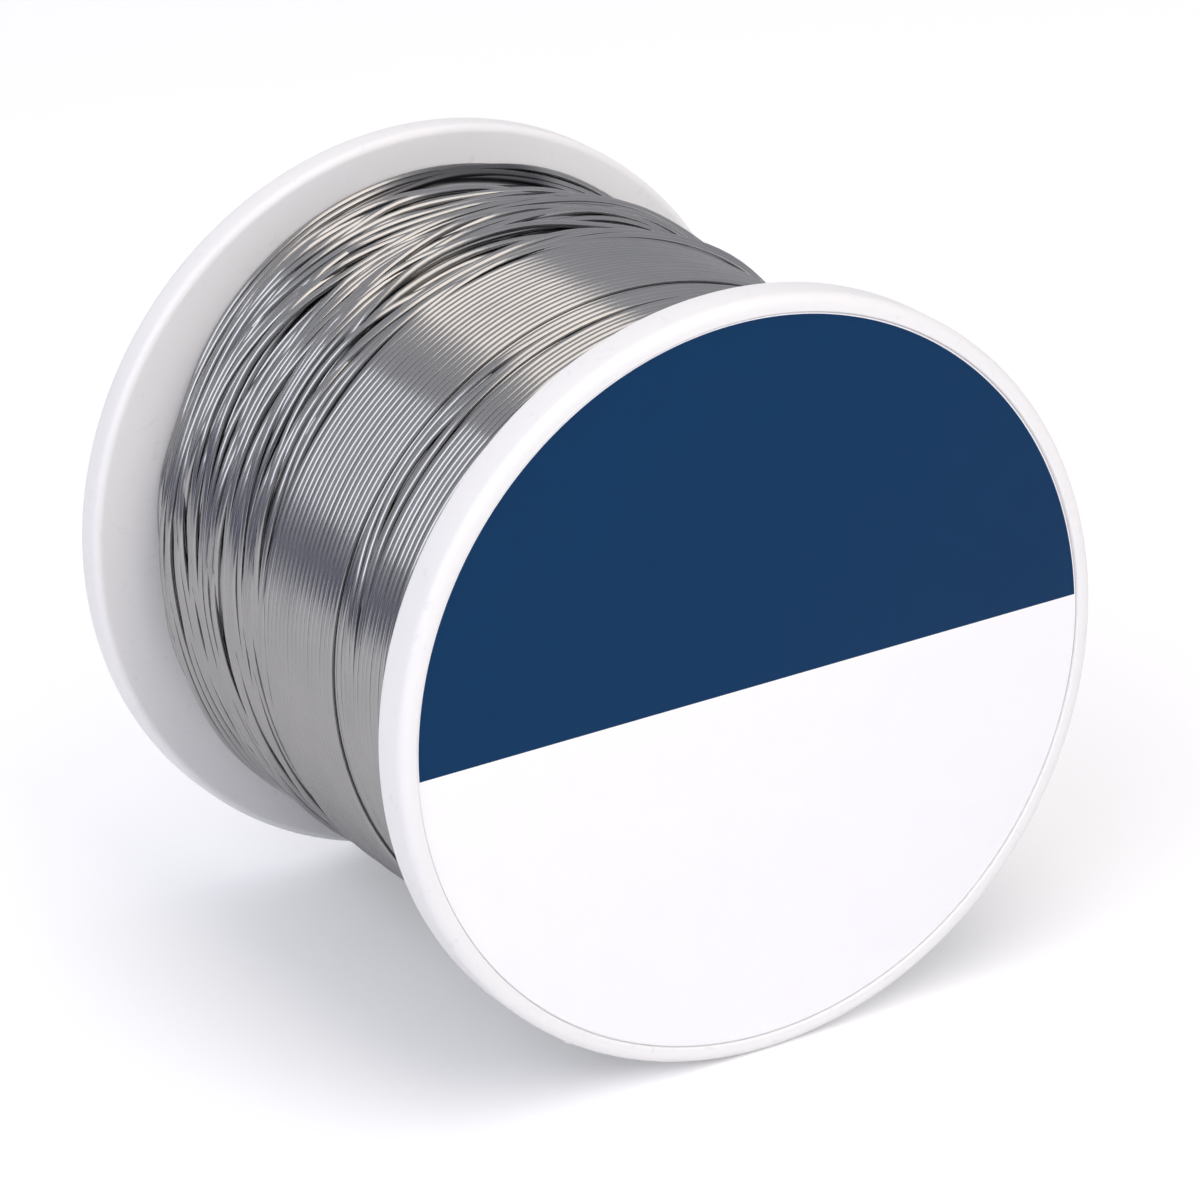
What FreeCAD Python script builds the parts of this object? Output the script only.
import FreeCAD, Part

"""Half-kilogram reel of flux-cored solder wire, lying on its two rims.

The axis of the reel is Y. The labelled flange faces -Y, +Z is up, and the
origin is on the axis, half way between the two outer faces. Millimetres.
"""

import math
import os
import re

import Sketcher

Vector = FreeCAD.Vector

# Driving dimensions: alias, value, what it is.
SIZES = (
    ("flange_dia", 67.0, "outside of both flanges"),
    ("reel_width", 58.0, "outer face to outer face"),
    ("front_rim", 4.2, "thickness of the labelled flange at its rim"),
    ("rear_rim", 3.3, "thickness of the plain flange at its rim"),
    ("rim_round", 0.9, "rounding of the rim edges"),
    ("label_margin", 1.6, "rim to the edge of the self-adhesive label"),
    ("label_thick", 0.16, "label with its glue"),
    ("label_gap", 0.1, "label edge to the wall of its recess"),
    ("recess_depth", 0.4, "label recess, below the rim"),
    ("barrel_dia", 38.0, "what the first layer is wound on"),
    ("barrel_wall", 2.5, "wall of the barrel"),
    ("collar_wall", 2.0, "wall of the collars that plug into the barrel"),
    ("collar_depth", 6.0, "how far a collar reaches into the barrel"),
    ("plug_fit", 0.05, "clearance round collars, keys and the hub's seat"),
    ("key_count", 3, "keys round each collar"),
    ("key_width", 3.0, "width of a key"),
    ("key_depth", 3.0, "how far a key reaches along the barrel"),
    ("key_height", 1.0, "how far a key stands out of its collar"),
    ("bore_dia", 16.0, "spindle bore through the hub tube"),
    ("hub_wall", 2.0, "wall of the hub tube"),
    ("hub_seat", 1.4, "how far the hub tube sits in the labelled flange"),
    ("hub_sink", 0.5, "hub tube's end below the plain flange's face"),
    ("eye_gap", 0.4, "extra radius of the hole behind the label"),
    ("rib_count", 6, "ribs between hub tube and barrel"),
    ("rib_thick", 1.5, "thickness of a rib"),
    ("rib_setback", 1.0, "rib ends to the collars"),
    ("gate_width", 0.8, "moulding gate's vestige on the labelled flange"),
    ("gate_height", 0.25, "how far the vestige stands out of the rim"),
    ("gate_angle", 236.0, "degrees round the rim, from +X towards +Z"),
    ("wire_dia", 0.7, "solder wire"),
    ("flux_dia", 0.27, "flux thread inside the wire"),
    ("wound_margin", 3.65, "rim to the top of the neat layer"),
    ("neat_width", 26.2, "neat layer, from the labelled flange"),
    ("raised_height", 0.55, "how far the last layer stands above the neat layer"),
    ("strand_dia", 1.45, "a raised loop, drawn for a pair of turns"),
    ("loop_count", 10, "loops drawn of the raised layer"),
    ("loop_wander", 0.45, "how far the raised loops snake to each side"),
    ("layer_fit", 0.05, "winding to the flanges, barrel and loops"),
    ("start_hole", 1.4, "hole for the wire's first end"),
    ("start_bend", 1.2, "bend radius of the first end"),
    ("start_tail", 4.5, "first end along the plain flange's face"),
    ("start_room", 0.3, "room round the first end in its groove"),
)

# Planes across the axis, from the label to the plain side.
FRONT_FACE = "-reel_width / 2"
REAR_FACE = "reel_width / 2"
RECESS_FLOOR = "recess_depth - reel_width / 2"
FRONT_INNER = "front_rim - reel_width / 2"
REAR_INNER = "reel_width / 2 - rear_rim"
HUB_FRONT = "front_rim - hub_seat - reel_width / 2"
HUB_REAR = "reel_width / 2 - hub_sink"
NEAT_END = "front_rim + neat_width - reel_width / 2"
TAIL_LEVEL = "reel_width / 2 - start_room - wire_dia / 2"

# Radii about the axis.
RIM = "flange_dia / 2"
LABEL = "flange_dia / 2 - label_margin"
WOUND = "flange_dia / 2 - wound_margin"
BARREL_OUT = "barrel_dia / 2"
BARREL_IN = "barrel_dia / 2 - barrel_wall"
COLLAR_OUT = "barrel_dia / 2 - barrel_wall - plug_fit"
COLLAR_IN = "barrel_dia / 2 - barrel_wall - plug_fit - collar_wall"
KEY_OUT = "barrel_dia / 2 - barrel_wall - plug_fit + key_height"
HUB_OUT = "bore_dia / 2 + hub_wall"
EYE = "bore_dia / 2 + eye_gap"
BED = "flange_dia / 2 - wound_margin + raised_height - strand_dia - layer_fit"
START = "barrel_dia / 2 + layer_fit + wire_dia / 2"

OUTER_STEPS = 2  # flats that stand for a rounded rim edge outside
INNER_STEPS = 1  # the same on the wire side
STRAND_SIDES = 4  # sides of a raised loop's section
WIRE_SIDES = 6  # sides of the wire's first end
QUARTERS = 4  # arcs of a loop come in pairs, one pair to a quarter turn
LOOP_START = 310.0  # degrees, where the raised layer begins, below and out of sight

doc = FreeCAD.newDocument("solder_reel")
sheet = doc.addObject("Spreadsheet::Sheet", "Sizes")
for row, (alias, value, note) in enumerate(SIZES, start=1):
    sheet.set(f"A{row}", alias)
    sheet.set(f"B{row}", str(value))
    sheet.set(f"C{row}", note)
    sheet.setAlias(f"B{row}", alias)
doc.recompute()


def size(alias):
    """A driving dimension, read from the sheet."""
    return float(sheet.get(alias))


def bound(text):
    """The same sum with each driving dimension looked up in the sheet."""
    return re.sub(r"[a-z]+(_[a-z]+)+", r"Sizes.\g<0>", text)


def body_named(node):
    body = doc.addObject("PartDesign::Body", node)
    body.Label = node
    return body


def origin_plane(body, role):
    return next(o for o in body.Origin.OriginFeatures if o.Role == role)


def lengthwise(body, name):
    """A sketch through the axis: its x is the radius and its y runs along the axis."""
    sketch = body.newObject("Sketcher::SketchObject", name)
    sketch.AttachmentSupport = [(origin_plane(body, "XY_Plane"), "")]
    sketch.MapMode = "FlatFace"
    return sketch


def crosswise(body, name, level, angle="0"):
    """A sketch across the axis at a level, turned by an angle. Its x is +X and its y is +Z."""
    sketch = body.newObject("Sketcher::SketchObject", name)
    sketch.AttachmentSupport = [(origin_plane(body, "XZ_Plane"), "")]
    sketch.MapMode = "FlatFace"
    sketch.AttachmentOffset = FreeCAD.Placement(Vector(), FreeCAD.Rotation(Vector(0, 0, 1), 1))
    sketch.setExpression("AttachmentOffset.Base.z", bound(f"-({level})"))
    sketch.setExpression("AttachmentOffset.Rotation.Angle", bound(angle))
    return sketch


def pin_point(sketch, line, end, x=None, y=None):
    """Holds an end, 1 or 2, or the centre, 3, of a line or arc at a bound place."""
    drawn = sketch.getPoint(line, end)
    for kind, text, at in (("DistanceX", x, drawn.x), ("DistanceY", y, drawn.y)):
        if text is None:
            continue
        index = sketch.addConstraint(Sketcher.Constraint(kind, -1, 1, line, end, at))
        name = f"{kind}_{line}_{end}"
        sketch.renameConstraint(index, name)
        sketch.setExpression(f"Constraints.{name}", bound(text))


def outline(sketch, corners):
    """A closed outline of straight lines through bound corners."""
    count = len(corners)
    guess = [Vector(20 + math.cos(i), 20 + math.sin(i), 0) for i in range(count)]
    lines = []
    for i in range(count):
        side = Part.LineSegment(guess[i], guess[(i + 1) % count])
        lines.append(sketch.addGeometry(side, False))
    for i in range(count):
        after = lines[(i + 1) % count]
        sketch.addConstraint(Sketcher.Constraint("Coincident", lines[i], 2, after, 1))
    for line, (x, y) in zip(lines, corners):
        pin_point(sketch, line, 1, x, y)


def circle(sketch, radius, x="0", y="0"):
    ring = sketch.addGeometry(Part.Circle(Vector(), Vector(0, 0, 1), 1.0), False)
    pin_point(sketch, ring, 3, x, y)
    index = sketch.addConstraint(Sketcher.Constraint("Radius", ring, 1.0))
    sketch.renameConstraint(index, f"Radius_{ring}")
    sketch.setExpression(f"Constraints.Radius_{ring}", bound(radius))


def faceted_ring(sketch, radius, x):
    """An even outline of a few flats that stands for a circle of the wire or the flux."""
    corners = []
    for side in range(WIRE_SIDES):
        turn = 360 * side / WIRE_SIDES
        corners.append((f"{x} + ({radius}) * cos({turn})", f"({radius}) * sin({turn})"))
    outline(sketch, corners)


def box_outline(sketch, near, far, width):
    """A rectangle from one radius to another, as wide to each side of the x axis."""
    low = f"-({width}) / 2"
    high = f"({width}) / 2"
    outline(sketch, [(near, low), (far, low), (far, high), (near, high)])


def turned(body, sketch):
    """The sketch turned once round the reel's axis."""
    feature = body.newObject("PartDesign::Revolution", f"{sketch.Name}_turned")
    feature.Profile = (sketch, [""])
    feature.ReferenceAxis = (sketch, ["V_Axis"])
    feature.Angle = 360
    return feature


def padded(body, sketch, length):
    """The sketch raised towards the labelled side."""
    feature = body.newObject("PartDesign::Pad", f"{sketch.Name}_pad")
    feature.Profile = (sketch, [""])
    feature.setExpression("Length", bound(length))
    return feature


def pocketed(body, sketch, length):
    """The sketch cut away towards the labelled side."""
    before = body.Shape.Volume
    feature = body.newObject("PartDesign::Pocket", f"{sketch.Name}_pocket")
    feature.Profile = (sketch, [""])
    feature.Reversed = True
    feature.setExpression("Length", bound(length))
    doc.recompute()
    if feature.Shape.Volume >= before:
        raise RuntimeError(f"{feature.Name} cuts nothing")
    return feature


def repeated(body, feature, count):
    """The feature repeated evenly round the reel's axis."""
    pattern = body.newObject("PartDesign::PolarPattern", f"{feature.Name}_round")
    pattern.Originals = [feature]
    pattern.Axis = (origin_plane(body, "Y_Axis"), [""])
    pattern.Angle = 360
    pattern.setExpression("Occurrences", bound(count))
    body.Tip = pattern
    doc.recompute()
    return pattern


def rounded_edge(x, y, towards_axis, towards_end, steps):
    """Corners of a rounded rim edge whose sharp corner would be at x, y.

    The first corner is on the rim and the last is on the face.
    """
    corners = []
    for step in range(steps + 1):
        turn = 90 * step / steps
        inward = f"rim_round * (1 - cos({turn}))"
        along = f"rim_round * (1 - sin({turn}))"
        corners.append((f"{x} {towards_axis} {inward}", f"{y} {towards_end} {along}"))
    return corners


def rim_outline(outer_face, inner_face):
    """The rim from its outer face to its wire side, outer_face first."""
    sign_out = "+" if outer_face == FRONT_FACE else "-"
    sign_in = "-" if outer_face == FRONT_FACE else "+"
    outer = rounded_edge(RIM, outer_face, "-", sign_out, OUTER_STEPS)
    inner = rounded_edge(RIM, inner_face, "-", sign_in, INNER_STEPS)
    return outer[::-1] + inner


def add_keys(body, level):
    """Keys that stop a collar from turning in the barrel."""
    sketch = crosswise(body, f"{body.Name}_key", level)
    box_outline(sketch, COLLAR_IN + " + collar_wall / 2", KEY_OUT, "key_width")
    key = padded(body, sketch, "key_depth")
    repeated(body, key, "key_count")


def make_front_flange():
    """Labelled flange: label recess outside, collar and hub seat inside."""
    body = body_named("front_flange")
    sketch = lengthwise(body, "front_profile")
    recess_wall = f"{LABEL} + label_gap"
    seat_wall = f"{HUB_OUT} + plug_fit"
    collar_end = f"{FRONT_INNER} + collar_depth"
    corners = [(EYE, RECESS_FLOOR), (recess_wall, RECESS_FLOOR), (recess_wall, FRONT_FACE)]
    corners += rim_outline(FRONT_FACE, FRONT_INNER)
    corners += [(COLLAR_OUT, FRONT_INNER), (COLLAR_OUT, collar_end)]
    corners += [(COLLAR_IN, collar_end), (COLLAR_IN, FRONT_INNER)]
    corners += [(seat_wall, FRONT_INNER), (seat_wall, HUB_FRONT), (EYE, HUB_FRONT)]
    outline(sketch, corners)
    turned(body, sketch)
    add_keys(body, f"{FRONT_INNER} + key_depth")
    gate = crosswise(body, "gate", f"front_rim / 2 + gate_width / 2 {FRONT_FACE}", "gate_angle")
    box_outline(gate, f"{RIM} - rim_round", f"{RIM} + gate_height", "gate_width")
    padded(body, gate, "gate_width")
    return body


def make_rear_flange():
    """Plain flange: open in the middle, with the hole and groove of the wire's first end."""
    body = body_named("rear_flange")
    sketch = lengthwise(body, "rear_profile")
    collar_end = f"{REAR_INNER} - collar_depth"
    corners = [(COLLAR_IN, REAR_FACE)]
    corners += rim_outline(REAR_FACE, REAR_INNER)
    corners += [(COLLAR_OUT, REAR_INNER), (COLLAR_OUT, collar_end), (COLLAR_IN, collar_end)]
    outline(sketch, corners)
    turned(body, sketch)
    add_keys(body, REAR_INNER)
    groove = crosswise(body, "start_groove", REAR_FACE)
    box_outline(groove, f"{COLLAR_IN} - collar_wall / 2", START, "wire_dia + 2 * start_room")
    pocketed(body, groove, "wire_dia + 2 * start_room")
    hole = crosswise(body, "start_hole", REAR_FACE)
    circle(hole, "start_hole / 2", START)
    pocketed(body, hole, "rear_rim")
    return body


def make_barrel():
    """Barrel with its hub tube, the ribs between them and the notches for the keys."""
    body = body_named("barrel")
    hub = crosswise(body, "hub", HUB_REAR)
    circle(hub, HUB_OUT)
    circle(hub, "bore_dia / 2")
    padded(body, hub, "reel_width - front_rim + hub_seat - hub_sink")

    inset = "(collar_depth + rib_setback)"
    rib_sketch = crosswise(body, "rib", f"{REAR_INNER} - {inset}")
    box_outline(rib_sketch, f"{HUB_OUT} - hub_wall / 2", f"{BARREL_IN} + barrel_wall / 2", "rib_thick")
    rib = padded(body, rib_sketch, f"reel_width - front_rim - rear_rim - 2 * {inset}")
    repeated(body, rib, "rib_count")

    tube = crosswise(body, "tube", REAR_INNER)
    circle(tube, BARREL_OUT)
    circle(tube, BARREL_IN)
    padded(body, tube, "reel_width - front_rim - rear_rim")
    doc.recompute()

    notch_depth = "key_depth + plug_fit"
    for name, level in (
        ("rear_notch", REAR_INNER),
        ("front_notch", f"{FRONT_INNER} + {notch_depth}"),
    ):
        sketch = crosswise(body, name, level)
        box_outline(sketch, f"{BARREL_IN} - barrel_wall / 2", f"{KEY_OUT} + plug_fit",
                    "key_width + 2 * plug_fit")
        notch = pocketed(body, sketch, notch_depth)
        repeated(body, notch, "key_count")
    return body


def make_face_label():
    """Round label, stuck to the floor of its recess and closing the bore on this side."""
    body = body_named("face_label")
    sketch = crosswise(body, "label", RECESS_FLOOR)
    circle(sketch, LABEL)
    padded(body, sketch, "label_thick")
    return body


def make_inner_layers():
    """All the layers under the last one. The rear part lies lower, as the bed of the raised loops."""
    body = body_named("inner_layers")
    sketch = lengthwise(body, "layers_profile")
    inside = f"{BARREL_OUT} + layer_fit"
    near = f"{FRONT_INNER} + layer_fit"
    far = f"{REAR_INNER} - layer_fit"
    corners = [(inside, near), (WOUND, near), (WOUND, NEAT_END)]
    corners += [(BED, NEAT_END), (BED, far), (inside, far)]
    outline(sketch, corners)
    turned(body, sketch)
    return body


def first_end_spine(body, name):
    """Through the plain flange, round a bend, and along its face towards the axis."""
    sketch = lengthwise(body, name)
    bend_radius = size("start_bend")
    centre = Vector(size("barrel_dia") / 2 - bend_radius, size("reel_width") / 2 - bend_radius, 0)
    side = centre + Vector(bend_radius, 0, 0)
    top = centre + Vector(0, bend_radius, 0)
    below = side - Vector(0, size("rear_rim"), 0)
    inward = top - Vector(size("start_tail"), 0, 0)
    ring = Part.Circle(centre, Vector(0, 0, 1), bend_radius)
    rise = sketch.addGeometry(Part.LineSegment(below, side), False)
    bend = sketch.addGeometry(Part.ArcOfCircle(ring, 0, math.pi / 2), False)
    tail = sketch.addGeometry(Part.LineSegment(top, inward), False)
    sketch.addConstraint(Sketcher.Constraint("Coincident", rise, 2, bend, 1))
    sketch.addConstraint(Sketcher.Constraint("Coincident", bend, 2, tail, 1))
    bend_level = f"{TAIL_LEVEL} - start_bend"
    pin_point(sketch, rise, 1, START, f"{REAR_INNER} - layer_fit")
    pin_point(sketch, rise, 2, START, bend_level)
    pin_point(sketch, bend, 3, y=bend_level)
    pin_point(sketch, tail, 1, f"{START} - start_bend", TAIL_LEVEL)
    pin_point(sketch, tail, 2, f"{START} - start_bend - start_tail", TAIL_LEVEL)
    return sketch


def make_first_end(node, outer, inner=None):
    """The wire's first end, or the flux thread in it: one section along the spine."""
    body = body_named(node)
    spine = first_end_spine(body, f"{node}_spine")
    section = crosswise(body, f"{node}_section", f"{REAR_INNER} - layer_fit")
    faceted_ring(section, outer, START)
    if inner:
        faceted_ring(section, inner, START)
    doc.recompute()
    pipe = body.newObject("PartDesign::AdditivePipe", f"{node}_pipe")
    pipe.Profile = (section, [""])
    pipe.Spine = (spine, ["Edge1", "Edge2", "Edge3"])
    doc.recompute()
    return body


def biarc(start, start_way, end, end_way):
    """Two arcs from one point to another that leave and arrive the given ways."""
    gap = end - start
    ways = start_way + end_way
    a = 2 * (1 - start_way.dot(end_way))
    b = 2 * gap.dot(ways)
    reach = 2 * gap.dot(gap) / (b + math.sqrt(b * b + 4 * a * gap.dot(gap)))
    corner_one = start + start_way * reach
    corner_two = end - end_way * reach
    joint = (corner_one + corner_two) * 0.5
    arcs = []
    for first, corner, last in ((start, corner_one, joint), (joint, corner_two, end)):
        chord = last - first
        middle = (first + last) * 0.5
        half = math.acos(min(1.0, chord.Length / 2 / (corner - first).Length))
        radius = chord.Length / 2 / math.sin(half)
        sagitta = radius * (1 - math.cos(half))
        crown = middle + (corner - middle).normalize() * sagitta
        arcs.append(Part.Arc(first, crown, last).toShape())
    return arcs


def raised_path():
    """The raised layer as one line of arcs, with a short straight run at each end."""
    loops = int(size("loop_count"))
    half_strand = size("strand_dia") / 2
    top = size("flange_dia") / 2 - size("wound_margin") + size("raised_height")
    radius = top - half_strand
    fit = size("layer_fit")
    low = size("front_rim") + size("neat_width") - size("reel_width") / 2 + half_strand + fit
    high = size("reel_width") / 2 - size("rear_rim") - half_strand - fit
    pitch = (high - low) / loops

    def place(turns):
        """Point on the path after so many turns. The snaking fades out beside the neat layer and the flange."""
        angle = 2 * math.pi * turns + math.radians(LOOP_START)
        swell = math.sin(math.pi * turns / loops) ** 2
        snake = size("loop_wander") * swell * math.sin(2 * angle + 0.35 * turns)
        along = low + pitch * turns + snake
        return Vector(radius * math.cos(angle), along, radius * math.sin(angle))

    def way(turns):
        small = 1e-4
        return (place(turns + small) - place(turns - small)).normalize()

    first, last = place(0), place(loops)
    run = size("strand_dia")
    edges = [Part.LineSegment(first - way(0) * run, first).toShape()]
    for i in range(loops * QUARTERS):
        a, b = i / QUARTERS, (i + 1) / QUARTERS
        edges += biarc(place(a), way(a), place(b), way(b))
    edges.append(Part.LineSegment(last, last + way(loops) * run).toShape())
    return Part.Wire(edges)


def least_gap(path, loops):
    """Least distance between neighbouring loops, less one strand, on points along the path."""
    per_loop = 72
    points = path.discretize(Number=loops * per_loop + 1)
    least = 1e9
    for i, point in enumerate(points):
        for other in points[i + per_loop // 2:i + per_loop * 3 // 2]:
            least = min(least, point.distanceToPoint(other))
    return least - size("strand_dia")


def make_raised_layer():
    """The wire's last, raised layer as one unbroken strand of flats."""
    loops = int(size("loop_count"))
    path = raised_path()
    start = path.Edges[0].firstVertex().Point
    onward = path.Edges[0].tangentAt(path.Edges[0].FirstParameter)
    outward = Vector(start.x, 0, start.z).normalize()
    aside = onward.cross(outward).normalize()
    corners = []
    for side in range(STRAND_SIDES):
        turn = 2 * math.pi * side / STRAND_SIDES
        spoke = outward * math.cos(turn) + aside * math.sin(turn)
        corners.append(start + spoke * (size("strand_dia") / 2))
    section = Part.makePolygon(corners + [corners[0]])
    strand = path.makePipeShell([section], True, False)
    area = Part.Face(section).Area
    share = strand.Volume / (area * path.Length)
    print(f"raised layer: {loops} loops, {path.Length:.0f} mm, least gap {least_gap(path, loops):.2f} mm,"
          f" volume {share:.4f} of section times length")
    feature = doc.addObject("Part::Feature", "raised_layer")
    feature.Label = "raised_layer"
    feature.Shape = strand
    feature.Placement = FreeCAD.Placement()
    return feature


pieces = [
    make_front_flange(),
    make_rear_flange(),
    make_barrel(),
    make_face_label(),
    make_inner_layers(),
    make_raised_layer(),
    make_first_end("wire_start", "wire_dia / 2", "flux_dia / 2"),
    make_first_end("flux_core", "flux_dia / 2"),
]
doc.recompute()

for thing in doc.Objects:
    if "Invalid" in thing.State or "Error" in thing.State:
        raise RuntimeError(f"{thing.Name} failed: {thing.State}")

os.makedirs("parts", exist_ok=True)
for piece in pieces:
    shape = piece.Shape
    if shape.isNull() or not shape.isValid() or not shape.Solids:
        raise RuntimeError(f"{piece.Label} has no valid solid")
    shape.exportStep(f"parts/{piece.Label}.step")
    box = shape.BoundBox
    print(f"{piece.Label}: {len(shape.Solids)} solid, {shape.Volume:.1f} mm3,"
          f" x {box.XMin:.2f}..{box.XMax:.2f}, y {box.YMin:.2f}..{box.YMax:.2f}, z {box.ZMin:.2f}..{box.ZMax:.2f}")
